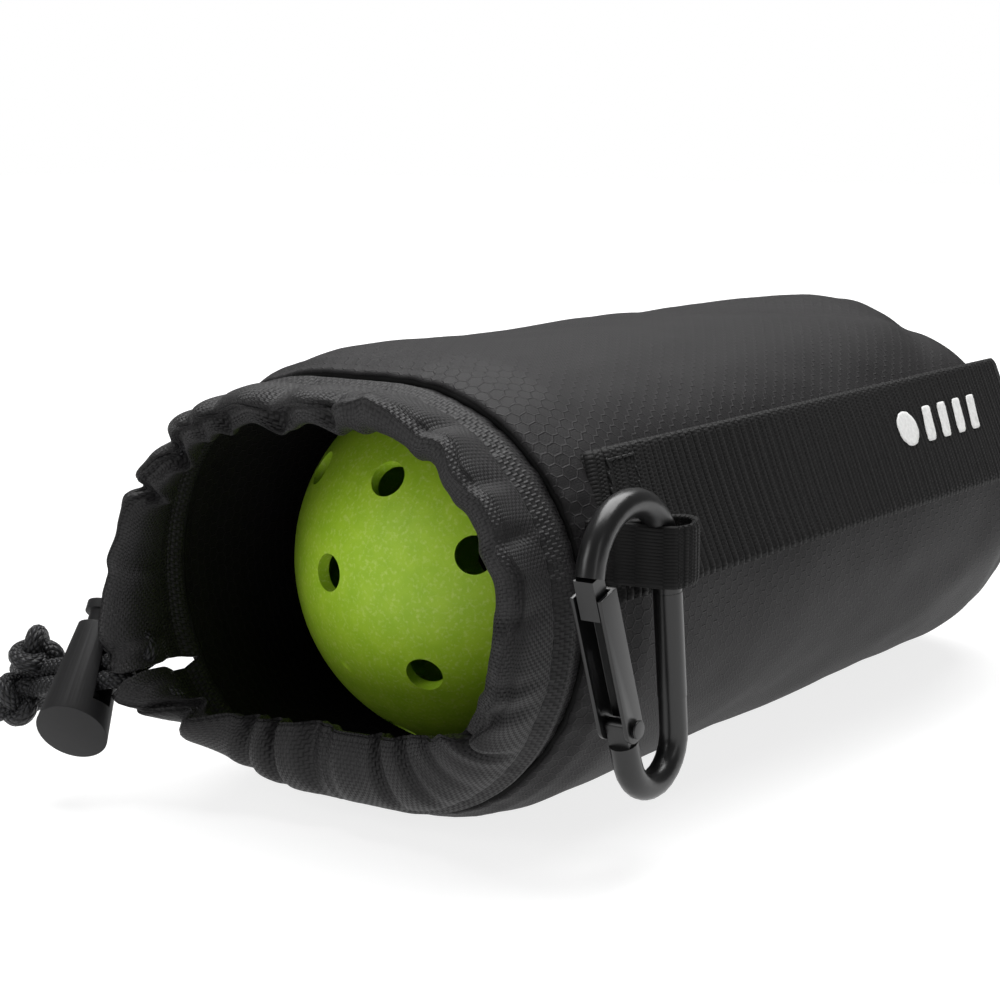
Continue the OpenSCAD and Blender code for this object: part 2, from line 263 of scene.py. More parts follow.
# %% Helpers for finishes
class Finish:
    def __init__(self, name, colour, roughness, **shader):
        self.material = bpy.data.materials.new(name)
        self.material.use_nodes = True
        self.nodes = self.material.node_tree.nodes
        self.links = self.material.node_tree.links
        self.shader = self.nodes["Principled BSDF"]
        self.put(self.shader, "Base Color", colour)
        self.put(self.shader, "Roughness", roughness)
        for key, value in shader.items():
            self.put(self.shader, key.replace("_", " "), value)

    def put(self, node, socket, value):
        if isinstance(value, bpy.types.NodeSocket):
            self.links.new(value, node.inputs[socket])
        elif isinstance(value, tuple) and len(value) == 3 and node.inputs[socket].type == "RGBA":
            node.inputs[socket].default_value = (*value, 1)
        else:
            node.inputs[socket].default_value = value

    def add(self, kind, inputs=(), out=0, **settings):
        node = self.nodes.new("ShaderNode" + kind)
        for key, value in settings.items():
            setattr(node, key, value)
        for socket, value in dict(inputs).items():
            self.put(node, socket, value)
        return node.outputs[out]

    def sum(self, operation, a, b=0.0, c=0.0):
        return self.add("Math", {0: a, 1: b, 2: c}, operation=operation)

    def vector(self, operation, a, b=(0, 0, 0), out=0):
        return self.add("VectorMath", {0: a, 1: b}, out=out, operation=operation)

    def mix(self, share, a, b):
        node = self.nodes.new("ShaderNodeMix")
        node.data_type = "RGBA"
        for socket, value in ((0, share), (6, a), (7, b)):
            self.put(node, socket, value)
        return node.outputs[2]

    def bump(self, height, depth, under=None):
        inputs = {"Height": height, "Distance": depth, "Strength": 1.0}
        if under is not None:
            inputs["Normal"] = under
        return self.add("Bump", inputs)

    def uv(self, size):
        """The cloth's own coordinates, one unit per pattern size in millimetres."""
        place = self.add("UVMap", uv_map="cloth")
        return self.vector("MULTIPLY", place, (1 / (size[0] * MM), 1 / (size[1] * MM), 0))

    def cloud(self, scale, detail=3.0, coords=None):
        """Noise from 0 to 1; scale is features per metre."""
        coords = coords or self.add("TexCoord", out=3)
        return self.add("TexNoise", {"Vector": coords, "Scale": scale, "Detail": detail})


def plain_weave(f, pitch):
    """Height of a plain weave: threads over and under by turns."""
    place = f.uv((pitch, pitch))
    split = f.nodes.new("ShaderNodeSeparateXYZ")
    f.put(split, 0, place)
    x, y = split.outputs[0], split.outputs[1]
    turn = f.sum("MODULO", f.sum("ADD", f.sum("FLOOR", x), f.sum("FLOOR", y)), 2.0)
    warp = f.sum("ABSOLUTE", f.sum("SINE", f.sum("MULTIPLY", x, math.pi)))
    weft = f.sum("ABSOLUTE", f.sum("SINE", f.sum("MULTIPLY", y, math.pi)))
    over = f.sum("ABSOLUTE", turn)
    return f.sum("ADD", f.sum("MULTIPLY", warp, over), f.sum("MULTIPLY", weft, f.sum("SUBTRACT", 1.0, over)))


# %% [markdown]
# ### Honeycomb ripstop
#
# The tube's cloth has thicker threads laid in a small honeycomb. Two square grids, one shifted by half a
# cell, give the nearest cell centre, and the distance to that cell's edge draws the raised threads.

# %% Ripstop
def honeycomb(f, cell):
    """Distance from 0 at a cell's middle to 0.5 at its edge, for six-sided cells."""
    place = f.uv((cell, cell))
    step = (1.0, math.sqrt(3), 1.0)
    half = (0.5, math.sqrt(3) / 2, 0.0)
    grids = []
    for shift in ((0, 0, 0), half):
        shifted = f.vector("ADD", f.vector("SUBTRACT", place, shift), (100.0, 100 * math.sqrt(3), 0.0))
        moved = f.vector("MODULO", shifted, step)
        grids.append(f.vector("SUBTRACT", moved, half))
    near = f.sum("LESS_THAN", f.vector("LENGTH", grids[0], out=1), f.vector("LENGTH", grids[1], out=1))
    node = f.nodes.new("ShaderNodeMix")
    node.data_type = "VECTOR"
    f.put(node, 0, near)
    f.put(node, 4, grids[1])
    f.put(node, 5, grids[0])
    cell_place = f.vector("ABSOLUTE", node.outputs[1])
    slanted = f.vector("DOT_PRODUCT", cell_place, (0.5, math.sqrt(3) / 2, 0), out=1)
    split = f.nodes.new("ShaderNodeSeparateXYZ")
    f.put(split, 0, cell_place)
    return f.sum("MAXIMUM", slanted, split.outputs[0])


def ripstop():
    f = Finish("ripstop", (0.02, 0.019, 0.0205), 0.6, Specular_IOR_Level=0.22, Sheen_Weight=0.012, Sheen_Roughness=0.4)
    edge = honeycomb(f, 2.45)
    thread = f.add("MapRange", {0: edge, 1: 0.42, 2: 0.49, 3: 0.0, 4: 1.0})
    weave = plain_weave(f, 0.42)
    worn = f.cloud(60)
    lit = f.mix(f.sum("MULTIPLY", thread, 0.5), (0.0058, 0.0052, 0.0058), (0.019, 0.0175, 0.0185))
    f.put(f.shader, "Base Color", f.mix(f.sum("MULTIPLY", worn, 0.35), lit, (0.009, 0.0083, 0.0088)))
    height = f.sum("ADD", f.sum("MULTIPLY", thread, 0.8), f.sum("MULTIPLY", weave, 0.22))
    f.put(f.shader, "Normal", f.bump(height, 0.09 * MM))
    return f.material


# %% [markdown]
# ### Woven finishes
#
# The collar is a coarse plain-woven oxford, the handle a ribbed webbing whose ribs run across it, and the
# drawcord a round braid whose strands cross in two directions.

# %% Oxford, webbing, binding, thread and braid
def oxford():
    f = Finish("oxford", (0.022, 0.0215, 0.0225), 0.55, Specular_IOR_Level=0.28, Sheen_Weight=0.012,
               Sheen_Roughness=0.4)
    weave = plain_weave(f, 0.62)
    fibre = f.cloud(900, 2.0)
    shade = f.sum("ADD", f.sum("MULTIPLY", weave, 0.75), f.sum("MULTIPLY", fibre, 0.35))
    f.put(f.shader, "Base Color", f.mix(shade, (0.002, 0.0019, 0.002), (0.0155, 0.0147, 0.0155)))
    f.put(f.shader, "Normal", f.bump(shade, 0.16 * MM))
    return f.material


def webbing(name, rib):
    f = Finish(name, (0.010, 0.010, 0.0102), 0.6, Specular_IOR_Level=0.16, Sheen_Weight=0.006, Sheen_Roughness=0.4)
    place = f.uv((rib / 1.8, rib))
    split = f.nodes.new("ShaderNodeSeparateXYZ")
    f.put(split, 0, place)
    across, along = split.outputs[0], split.outputs[1]
    rounds = f.sum("ABSOLUTE", f.sum("SINE", f.sum("MULTIPLY", along, math.pi)))
    odd = f.sum("MULTIPLY", f.sum("MODULO", f.sum("FLOOR", along), 2.0), 0.5)
    beads = f.sum("ABSOLUTE", f.sum("SINE", f.sum("MULTIPLY", f.sum("ADD", across, odd), math.pi)))
    height = f.sum("ADD", f.sum("MULTIPLY", rounds, 0.6), f.sum("MULTIPLY", beads, 0.4))
    fibre = f.cloud(1200, 2.0)
    shade = f.sum("MULTIPLY", height, f.sum("ADD", 0.6, f.sum("MULTIPLY", fibre, 0.6)))
    f.put(f.shader, "Base Color", f.mix(shade, (0.0012, 0.0012, 0.0012), (0.0085, 0.0082, 0.0083)))
    f.put(f.shader, "Normal", f.bump(height, 0.2 * MM))
    return f


def braid():
    f = Finish("braided_cord", (0.012, 0.012, 0.013), 0.5, Specular_IOR_Level=0.3, Sheen_Weight=0.01,
               Sheen_Roughness=0.4)
    place = f.uv((1.0, 1.0))
    split = f.nodes.new("ShaderNodeSeparateXYZ")
    f.put(split, 0, place)
    left = f.sum("ADD", split.outputs[0], split.outputs[1])
    right = f.sum("SUBTRACT", split.outputs[0], split.outputs[1])
    waves = [f.sum("ABSOLUTE", f.sum("SINE", f.sum("MULTIPLY", w, math.pi * 0.78))) for w in (left, right)]
    height = f.sum("MULTIPLY", waves[0], waves[1])
    # The colour follows the height: painted shade, darker in the grooves between the strands.
    f.put(f.shader, "Base Color", f.mix(height, (0.0015, 0.0015, 0.0015), (0.022, 0.022, 0.025)))
    f.put(f.shader, "Normal", f.bump(height, 0.3 * MM))
    return f.material


def simple(name, colour, roughness, grain, depth, **shader):
    """A plain finish with a fine grain and a slight change of colour."""
    f = Finish(name, colour, roughness, **shader)
    cloud = f.cloud(grain, 4.0)
    darker = tuple(0.7 * c for c in colour)
    f.put(f.shader, "Base Color", f.mix(cloud, darker, tuple(1.2 * c for c in colour)))
    f.put(f.shader, "Normal", f.bump(cloud, depth * MM))
    return f.material


RIPSTOP = ripstop()
OXFORD = oxford()
WEBBING = webbing("webbing", 1.25).material
LOOP_WEBBING = webbing("loop_webbing", 1.0).material
BRAID = braid()
BINDING = simple("binding_tape", (0.005, 0.005, 0.005), 0.7, 900, 0.08, Specular_IOR_Level=0.15)
THREAD = simple("sewing_thread", (0.008, 0.008, 0.008), 0.5, 2500, 0.03, Specular_IOR_Level=0.25)
LOCK_PLASTIC = simple("lock_plastic", (0.0045, 0.0043, 0.0048), 0.58, 700, 0.01, Specular_IOR_Level=0.35)
ANODISED = simple("anodised", (0.004, 0.004, 0.0042), 0.3, 1500, 0.003, Specular_IOR_Level=0.5)
SPRING = simple("spring_steel", (0.5, 0.5, 0.52), 0.3, 800, 0.003, Metallic=1.0)

# %% [markdown]
# ### The ball's plastic
#
# The ball is moulded from a bright lime plastic with a fine mottle of paler specks, and its surface is
# slightly pebbled, so its light is broad and soft.

# %% Ball plastic
def ball_plastic():
    f = Finish("ball_plastic", (0.42, 0.68, 0.03), 0.5, Specular_IOR_Level=0.35, Subsurface_Weight=0.0)
    broad = f.cloud(260, 4.0)
    fine = f.cloud(1400, 3.0)
    fleck = f.add("MapRange", {0: fine, 1: 0.52, 2: 0.72, 3: 0.0, 4: 1.0})
    base = f.mix(broad, (0.30, 0.56, 0.012), (0.50, 0.74, 0.045))
    f.put(f.shader, "Base Color", f.mix(f.sum("MULTIPLY", fleck, 0.5), base, (0.66, 0.80, 0.20)))
    f.put(f.shader, "Normal", f.bump(f.sum("ADD", broad, fine), 0.05 * MM))
    return f.material


BALL = ball_plastic()

# %% [markdown]
# ## The drawcord
#
# The two ends of the drawcord leave the hem at the slit, run through the lock side by side, and are tied
# in one knot. The route is the one the CAD cord takes, rounded. Each strand is one cord from the hem to
# its melted tip. Limp cord, so its bends are no tighter than about two diameters.

# %% Collar layout, shared by the cloth and by the cord in its hem
COLLAR_R = 37.0
HEM_FROM = 0.26
HEM_DEEP = 4.4
CORD_R = 1.75
# share of the way round from the underside, the rim's radius, how far it reaches in front of the seam
RIM = [(0.000, 22.0, 13.5), (0.053, 22.0, 13.5), (0.102, 23.3, 15), (0.146, 27.0, 18), (0.176, 33.5, 20.5),
       (0.213, 38.0, 21), (0.250, 38.0, 21), (0.299, 38.6, 20), (0.331, 39.4, 19), (0.361, 38.0, 20),
       (0.380, 39.2, 18.5), (0.403, 38.2, 19), (0.435, 39.6, 20.5), (0.462, 37.6, 21), (0.485, 35.2, 21),
       (0.528, 34.1, 20), (0.553, 34.6, 19.5), (0.597, 33.9, 18.5), (0.627, 35.6, 17.5), (0.671, 36.1, 16.5),
       (0.713, 37.6, 16), (0.762, 39.2, 17.5), (0.799, 39.8, 20), (0.834, 39.0, 21.5), (0.868, 30.5, 18.5),
       (0.910, 24.8, 15.5), (0.947, 22.8, 14), (1.000, 22.0, 13.5)]


def collar_profile(share, t):
    """(place along the bag, radius, the wall's inward normal) at a share of the way from seam to rim."""
    radius, reach = glide(RIM, share % 1)
    drop, w = COLLAR_R - radius, t * math.pi / 2
    y, r = -reach * math.sin(w), COLLAR_R - drop * (1 - math.cos(w))
    wall = Vector((-reach * (math.cos(w) + 0.05), -drop * math.sin(w)))
    wall.normalize()
    return y, r, (-wall[1], wall[0])


def collar_at(share, t, inset=0.0):
    """A point of the collar in metres; inset goes into the wall, in millimetres."""
    middle, c, s = section(share)
    y, r, inward = collar_profile(share, t)
    y, r = y + inset * inward[0], r + inset * inward[1]
    return bag(middle + r * c, y, AXIS_Z + r * s)


# %% Drawcord
lock_at = Vector((-50, -19.4, 22.5))
cord_way = Vector((-0.978, 0, -0.208))
lock_up = Vector((-0.17, 0.574, 0.801))
knot_at = lock_at + 15 * cord_way


def strand_route(share, lead, side, knot_end):
    """Points in metres from the hem, through the lock and the knot, to a tip."""
    start = collar_at(share, 0.49, 3.05)
    middle = [lock_at + side * lock_up + d * cord_way for d in (-7.5, -3, 1.5, 6, 10)]
    points = [start] + [bag(*p) for p in lead + middle + knot_end]
    return smooth_route(points, 4)


upper = strand_route(0.795, [(-39.2, -14.9, 27.6), (-39.6, -15.6, 26.2), (-41.2, -16.9, 25.6)], 1.8,
                     [knot_at + Vector((1, 0.5, 1.5)), (-68.6, -18, 19.4), (-71, -16.8, 19.4), (-73.1, -15.8, 19.4)])
lower = strand_route(0.853, [(-35, -15.4, 20.2), (-38.6, -17.6, 21.4)], -1.8,
                     [knot_at + Vector((0, -1, -2)), (-68.7, -23.4, 13.4), (-71.7, -24.6, 12.8), (-74.7, -25.8, 12.6)])


def strand_size(share):
    """Full round, then pinched flat and melted over its last few millimetres."""
    return CORD_R * MM * (1 - 0.45 * ease((share - 0.975) / 0.025))


strands = []
for name, route in (("drawcord_upper", upper), ("drawcord_lower", lower)):
    strand = tube(name, route, strand_size, 16, BRAID)
    strands.append((strand, route))
    print(name, f"{sum((b - a).length for a, b in zip(route, route[1:])) * 1000:.1f} mm")

# %% [markdown]
# The knot is an overhand knot tied in both strands at once. Its outside is two trefoil loops, one for
# each strand, pulled tight against each other. The drawcord's ring inside the hem follows the collar.

# %% Knot and the cord in the hem
def trefoil(centre, size, tilt, steps=72):
    """A trefoil loop in millimetres, turned about its centre."""
    route = []
    for k in range(steps):
        a = 2 * math.pi * k / steps
        loop = Vector((math.sin(a) + 2 * math.sin(2 * a), math.cos(a) - 2 * math.cos(2 * a), -1.3 * math.sin(3 * a)))
        route.append(bag(*(centre + size * (tilt @ loop))))
    return route


knot_pieces = []
KNOTS = [("knot_upper", Vector((-0.3, 1.4, 4.4)), (20, 65, 10)),
         ("knot_lower", Vector((-1.6, -1.8, -3.6)), (75, 20, 50))]
for name, shift, turn in KNOTS:
    tilt = Euler([math.radians(a) for a in turn]).to_matrix()
    knot_pieces.append(tube(name, trefoil(knot_at + shift, 1.25, tilt), CORD_R * MM, 12, BRAID, closed=True))
keep(knot_pieces[0], "bag", "cord", "drawcord_knot")
keep(knot_pieces[1], "bag", "cord")

for (strand, route), node in zip(strands, ("drawcord_tails", "cord_ends")):
    keep(strand, "bag", "cord", node)

ring_shares = [0.853 + k * (0.942 / 150) for k in range(151)]
hem_cord = tube("hem_cord", [collar_at(share, 0.49, 2.2) for share in ring_shares], 1.5 * MM, 10, BRAID)
keep(hem_cord, "bag", "cord", "casing_cord")

# %% [markdown]
# ## Refined CAD pieces
#
# The lock and the carabiner already have their true shapes. Each gets a copy whose triangles are merged,
# whose edges, but for the carabiner frame's, are softened by a small bevel, and which then stands for the CAD node.

# %% Lock, carabiner and other moulded pieces
def refined(node, body, slot, material, bevel, angle=32):
    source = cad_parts[node]
    mesh = source.data.copy()
    piece = bpy.data.objects.new(node + "_finished", mesh)
    bpy.context.scene.collection.objects.link(piece)
    mesh.materials.clear()
    mesh.materials.append(material)
    choose(piece)
    bpy.ops.mesh.customdata_custom_splitnormals_clear()
    outwards(piece)
    finish_with(piece, "DECIMATE", decimate_type="DISSOLVE", angle_limit=math.radians(1))
    if bevel:
        finish_with(piece, "BEVEL", width=bevel * MM, segments=3, limit_method="ANGLE", angle_limit=math.radians(angle))
    choose(piece)
    bpy.ops.object.shade_smooth_by_angle(angle=math.radians(angle))
    print(node, len(mesh.polygons), "faces")
    return keep(piece, body, slot, node)


refined("lock_body", "cord_lock", "lock_plastic", LOCK_PLASTIC, 0.35)
refined("lock_plunger", "lock_button", "lock_plastic", LOCK_PLASTIC, 0.3)
refined("carabiner_frame", "carabiner", "anodised", ANODISED, 0.0, 50)
refined("carabiner_gate", "gate", "anodised", ANODISED, 0.25)
refined("gate_rivet", "carabiner", "anodised", ANODISED, 0.15)
for node, material in (("lock_spring", SPRING), ("gate_spring", SPRING), ("ball", BALL)):
    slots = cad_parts[node].data.materials
    for k in range(len(slots)):
        slots[k] = material

# %% [markdown]
# ## The tube
#
# The tube is one sheet of ripstop, wrapped round and sewn into a cylinder. It swells just behind the
# collar seam, lies flat underneath, and rounds in at the base. Soft folds run through it: puckers along
# both seams, a few broad dents, and long creases where the slack cloth sinks near the base.

# %% Tube cloth
TUBE_LINE = [(0, 37.4), (2, 38.2), (6, 39.5), (14, 40.5), (162, 40.5), (172, 39.4), (180, 35.0), (186, 26.6)]
# creases: share of the way round and place along at both ends, depth, width, all in millimetres but the shares
CREASES = [(0.50, 118, 0.415, 176, 1.7, 7.0), (0.535, 128, 0.46, 183, -1.4, 6.0), (0.36, 150, 0.44, 184, 1.3, 5.0),
           (0.30, 60, 0.345, 110, -0.5, 7.0), (0.57, 20, 0.55, 90, 0.5, 9.0), (0.17, 120, 0.24, 182, -1.1, 7.0),
           (0.12, 40, 0.16, 120, 0.6, 9.0), (0.64, 110, 0.60, 180, 1.3, 8.0), (0.75, 90, 0.72, 178, -1.2, 8.0),
           (0.85, 60, 0.83, 150, 0.8, 9.0)]


def crease_height(share, y):
    height = 0.0
    x = share * ROUND
    for s0, y0, s1, y1, depth, width in CREASES:
        ax, bx = s0 * ROUND, s1 * ROUND
        dx, dy = bx - ax, y1 - y0
        t = ((x - ax) * dx + (y - y0) * dy) / (dx * dx + dy * dy)
        t = min(max(t, 0), 1)
        away = math.hypot(x - ax - t * dx, y - y0 - t * dy)
        height -= depth * math.exp(-((away / width) ** 2)) * math.sin(math.pi * (0.12 + 0.76 * t))
    return height


def tube_radius(share, y):
    r = glide(TUBE_LINE, y)[0]
    pucker = (0.45 * math.exp(-y / 6) * ripple(share, 0.02 * y, 60, 3)
              + 0.9 * ease((y - 166) / 18) * ripple(share, 0.03 * y, 34, 8))
    broad = 0.7 * ripple(share, y / 38, 9, 5) * ease(y / 25) + 0.22 * ripple(share, y / 12, 26, 14)
    return r + pucker + broad + crease_height(share, y)


def tube_cloth(share, v, inside=0.0):
    y = REAR * v
    middle, c, s = section(share)
    r = tube_radius(share, y) - inside
    lean = 0.1763 * ease((y - 10) / 160) * r * s
    z = AXIS_Z + r * s
    return bag(middle + r * c, y - lean, max(z, 0.35))


tube_piece = cloth("tube_cloth", 240, 156, tube_cloth, (ROUND * MM, REAR * MM), RIPSTOP, closed=True)
finish_with(tube_piece, "SOLIDIFY", thickness=0.9 * MM, offset=-1.0, use_even_offset=False)
keep(tube_piece, "bag", "ripstop", "body_panel")
print("tube", len(tube_piece.data.polygons), "faces")

# %% [markdown]
# Inside, along the top, the tube's two edges are sewn together and their raw allowance lies folded flat
# against the cloth. It is a narrow strip that follows the tube, a little proud of its inner face.

# %% Seam allowance
ALLOWANCE_W = 7.0
ALLOWANCE_FROM, ALLOWANCE_TO = 0.06, 0.88


def allowance(u, v):
    share = 0.5 - (0.5 + ALLOWANCE_W * u) / ROUND
    curl = 0.5 * u * u * (1 + ripple(0.3, 14 * v, 4, 41))
    return tube_cloth(share, ALLOWANCE_FROM + (ALLOWANCE_TO - ALLOWANCE_FROM) * v, 1.7 + curl)


allowance_size = (ALLOWANCE_W * MM, (ALLOWANCE_TO - ALLOWANCE_FROM) * REAR * MM)
seam_piece = cloth("seam_allowance", 10, 140, allowance, allowance_size, RIPSTOP)
finish_with(seam_piece, "SOLIDIFY", thickness=0.8 * MM, offset=0.0)
keep(seam_piece, "bag", "ripstop", "side_seam")

# %% [markdown]
# ## The base
#
# A round panel closes the tube. Its edge is bound with a folded tape, and the cloth dips a little
# between the tape and its middle.

# %% Base panel and its binding
BASE_R = 26.3
LEAN = 0.1763


def base_cloth(u, v):
    middle, c, s = section(u)
    r = BASE_R * (1 - v)
    dip = (2.2 * math.sin(math.pi * min(1, v * 1.2) / 2)
           + 0.5 * (1 - v) * ripple(u, 2 * v, 22, 21) * math.sin(math.pi * v))
    x, h = middle * (1 - v) + r * c, r * s
    return bag(x, REAR + 0.9 - dip - LEAN * h, AXIS_Z + h)


base_piece = cloth("base_cloth", 120, 24, base_cloth, (0.18, 0.026), RIPSTOP, closed=True)
outwards(base_piece)
finish_with(base_piece, "SOLIDIFY", thickness=0.9 * MM, offset=0.0)
keep(base_piece, "bag", "ripstop", "base_panel")


def base_edge(share):
    middle, c, s = section(share)
    r = BASE_R + 0.5 + 0.2 * ripple(share, 0, 30, 17)
    return bag(middle + r * c, REAR + 1.2 - LEAN * r * s, AXIS_Z + r * s)


base_tape = tube("base_tape", [base_edge(k / 160) for k in range(160)], 1.5 * MM, 12, BINDING, closed=True,
                 oval=0.6, up=Vector((0, 1, 0)))
keep(base_tape, "bag", "binding", "base_binding")

# %% [markdown]
# ## The collar
#
# The collar is gathered oxford. From the seam it runs forward to the rim, turns in over the drawcord and
# is stitched back to itself, so the rim is a soft double hem. Gathering throws it into waves, which grow
# towards the rim. The slit on the far side leaves the two flaps apart at the rim.

# %% Collar cloth
SLIT = 0.8195
SLIT_GAP = [(0.0, 0.0), (0.04, 0.6), (0.14, 2.6), (0.28, 2.8), (0.42, 0.9), (0.6, 0.6), (0.8, 1.4), (1.0, 4.5)]
RIM_DEEP = 1.6
LOCK_SLIDE = 1.8
GATHERS = 27


def gathers(share):
    """How deep the gathers pull the cloth in at a share of the way round, 0 where there are none."""
    pull = 0.0
    for k in range(GATHERS):
        jitter = 0.8 * noise.noise(Vector((k * 1.7, 4.4, 0.3)))
        depth = 0.35 + 1.5 * abs(noise.noise(Vector((k * 2.3, 9.1, 5.5))))
        width = 1.5 + 1.4 * abs(noise.noise(Vector((k * 3.1, 2.2, 8.8))))
        away = (share - (k + 0.5 + jitter) / GATHERS + 0.5) % 1 - 0.5
        pull += depth * math.exp(-((away * ROUND / width) ** 2))
    return pull


GATHER_STEPS = 2000
GATHER_TABLE = [gathers(k / GATHER_STEPS) for k in range(GATHER_STEPS)]


def clear_of_lock(point):
    """Moves a point of the cloth, in metres, out of the space that the cord lock needs as it slides."""
    p = Vector(((point.x - BAG_X) / MM, (point.y - BAG_Y) / MM, point.z / MM)) - lock_at + LOCK_SLIDE * cord_way
    up = lock_up.normalized()
    height = p.dot(up)
    away = p - height * up
    need = 5.6 + max(0, 9 - height) * 0.13
    if abs(height) > 17 or away.length > need:
        return point
    return point + (need / away.length - 1) * away * MM * ease((17 - abs(height)) / 2)


def collar_cloth(u, v):
    """v runs from the seam to the rim over its first half, then round the fold and back along the hem."""
    turn = min(max((v - 0.5) / 0.08, 0), 1)
    t = v / 0.5 if v < 0.5 else 1 - max(v - 0.58, 0) / 0.42 * (1 - HEM_FROM)
    gap = glide(SLIT_GAP, t)[0] / ROUND
    share = (SLIT + gap / 2 + (1 - gap) * u) % 1
    middle, c, s = section(share)
    y, r, inward = collar_profile(share, t)
    grow = t**1.6
    wave = 1.7 * grow * ripple(share, 0.6 * t, 17, 31) + 0.5 * grow * ripple(share, 0.8 * t, 38, 47)
    sway = 0.9 * grow * ripple(share, 2.0, 20, 71)
    pull = GATHER_TABLE[int(share * GATHER_STEPS) % GATHER_STEPS]
    run = ease((t - 0.2) / 0.5)
    belly = 0.6 * math.sin(math.pi * t) * ease((-s - 0.3) / 0.5)
    shut = math.exp(-(((t - HEM_FROM) / 0.035) ** 2))
    hem = min(max((1 - t) / (1 - HEM_FROM), 0), 1)
    puff = math.sin(math.pi * hem) ** 0.6 if 0 < hem < 1 else 0.0
    pucker = 0.4 * math.exp(-(((t - HEM_FROM) / 0.08) ** 2)) * ripple(share, 0.2, 90, 53)
    deep = 0.0
    lift = wave + belly - 1.4 * pull * run
    if turn == 0:
        ridge = 0.8 * math.exp(-(((t - 0.13) / 0.05) ** 2)) + 0.3 * math.exp(-t / 0.08) * ripple(share, 0.1, 70, 59)
        lift += ridge + pucker + 1.3 * puff - 0.5 * shut
    elif turn < 1:
        deep = RIM_DEEP * (1 - math.cos(math.pi * turn)) / 2
        y -= 0.9 * math.sin(math.pi * turn)
    else:
        deep = RIM_DEEP + (HEM_DEEP + 0.5 - RIM_DEEP) * puff - (RIM_DEEP - 1.1) * ease((v - 0.93) / 0.07)
    y, r = y - sway + 2.0 * pull * grow + (deep - lift) * inward[0], r + (deep - lift) * inward[1]
    return clear_of_lock(bag(middle + r * c, y, max(AXIS_Z + r * s, 0.5)))


COLLAR_CUT = (0.262, 0.040)
collar_piece = cloth("collar_cloth", 520, 72, collar_cloth, COLLAR_CUT, OXFORD)
work = bmesh.new()
work.from_mesh(collar_piece.data)
bmesh.ops.remove_doubles(work, verts=work.verts, dist=1e-5)
work.to_mesh(collar_piece.data)
work.free()
finish_with(collar_piece, "SOLIDIFY", thickness=0.6 * MM, offset=-1.0)
keep(collar_piece, "bag", "oxford", "collar_panel", "cord_casing")
print("collar", len(collar_piece.data.polygons), "faces")

# %% [markdown]
# The seam between collar and tube is covered by a narrow dark tape that sits in the groove between them.

# %% Collar seam tape
def seam_line(share):
    middle, c, s = section(share)
    r = COLLAR_R + 0.35 + 0.2 * ripple(share, 0, 60, 3)
    return bag(middle + r * c, 0.3 + 0.3 * ripple(share, 0, 24, 91), max(AXIS_Z + r * s, 0.9))


seam_tape = tube("seam_tape", [seam_line(k / 260) for k in range(260)], 0.95 * MM, 8, BINDING, closed=True,
                 oval=0.75, up=Vector((0, 1, 0)))
keep(seam_tape, "bag", "binding", "collar_binding")

# %% [markdown]
# ## Stitches
#
# Each row of stitches is one short rounded bar, copied along its line and sunk a little into the cloth.

# %% Stitch maker
def stitch_row(name, places, length, radius=0.28):
    """places are (point, way, out) in metres; each gets one bar of thread."""
    points, faces, uvs = [], [], []
    for centre, way, out in places:
        way = way.normalized()
        side = way.cross(out).normalized()
        up = side.cross(way)
        start = len(points)
        for end, size in ((-0.5, 0.45), (-0.32, 1.0), (0.32, 1.0), (0.5, 0.45)):
            for k in range(6):
                a = math.pi * k / 3
                edge = size * radius * MM * (math.cos(a) * side + 0.8 * math.sin(a) * up)
                points.append(centre + way * end * length * MM + edge)
        for ring in range(3):
            for k in range(6):
                h = (k + 1) % 6
                faces.append(tuple(start + ring * 6 + i for i in (k, h, 6 + h, 6 + k)))
                uvs += [(0, 0), (0.001, 0), (0.001, 0.001), (0, 0.001)]
        for ring, turn in ((0, -1), (3, 1)):
            faces.append(tuple(start + ring * 6 + k for k in range(6))[::turn])
            uvs += [(0, 0)] * 6
    piece = mesh_piece(name, points, faces, uvs, THREAD)
    outwards(piece)
    return piece


def on_collar(u, v):
    """A point on the collar's face with its direction round and its outward normal."""
    a, b, c = collar_cloth(u, v), collar_cloth(u + 0.002, v), collar_cloth(u, v + 0.01)
    out = (b - a).cross(c - a).normalized()
    return a, b - a, out


hem_line = [on_collar(k / 74 * 0.98 + 0.01, 0.5 * (HEM_FROM + 0.015)) for k in range(75)]
hem_row = stitch_row("hem_row", [(p - 0.05 * MM * n, w, n) for p, w, n in hem_line], 2.6)
keep(hem_row, "bag", "thread", "hem_stitches")

# %% [markdown]
# ## The handle
#
# The handle is 25 mm webbing. It is sewn down at the collar seam, with its end folded under, bows away
# from the tube, and turns back under itself at the rear. Its cross-ribs are real ripples in the mesh.

# %% Handle webbing
STRAP_TURN = math.radians(22.5)
STRAP_W = 25.0
STRAP_T = 1.4
STRAP_ROUTE = [(37.9, 13), (37.6, 8), (37.7, 3.0), (38.7, 1.4), (39.9, 2.6), (40.7, 7), (41.3, 12), (41.6, 18),
               (41.9, 30), (42.8, 48), (44.6, 70), (46.8, 95), (49.0, 122), (50.4, 146), (50.4, 151.5), (48.2, 155.8),
               (43.8, 157.2), (41.6, 159.4), (41.1, 164), (41.1, 172)]


def on_strap(u, y, z):
    """A point in metres from the strap's own frame: out from the tube's middle, along, and up the webbing."""
    c, s = math.cos(STRAP_TURN), math.sin(STRAP_TURN)
    return bag(HALF_FLAT + u * c - z * s, y, AXIS_Z + u * s + z * c)


strap_line = smooth_route([(u, y, 0) for u, y in STRAP_ROUTE], 24)
strap_way = [0.0]
for a, b in zip(strap_line, strap_line[1:]):
    strap_way.append(strap_way[-1] + (b - a).length)
STRAP_LEN = strap_way[-1]
STRAP_STEPS = 900


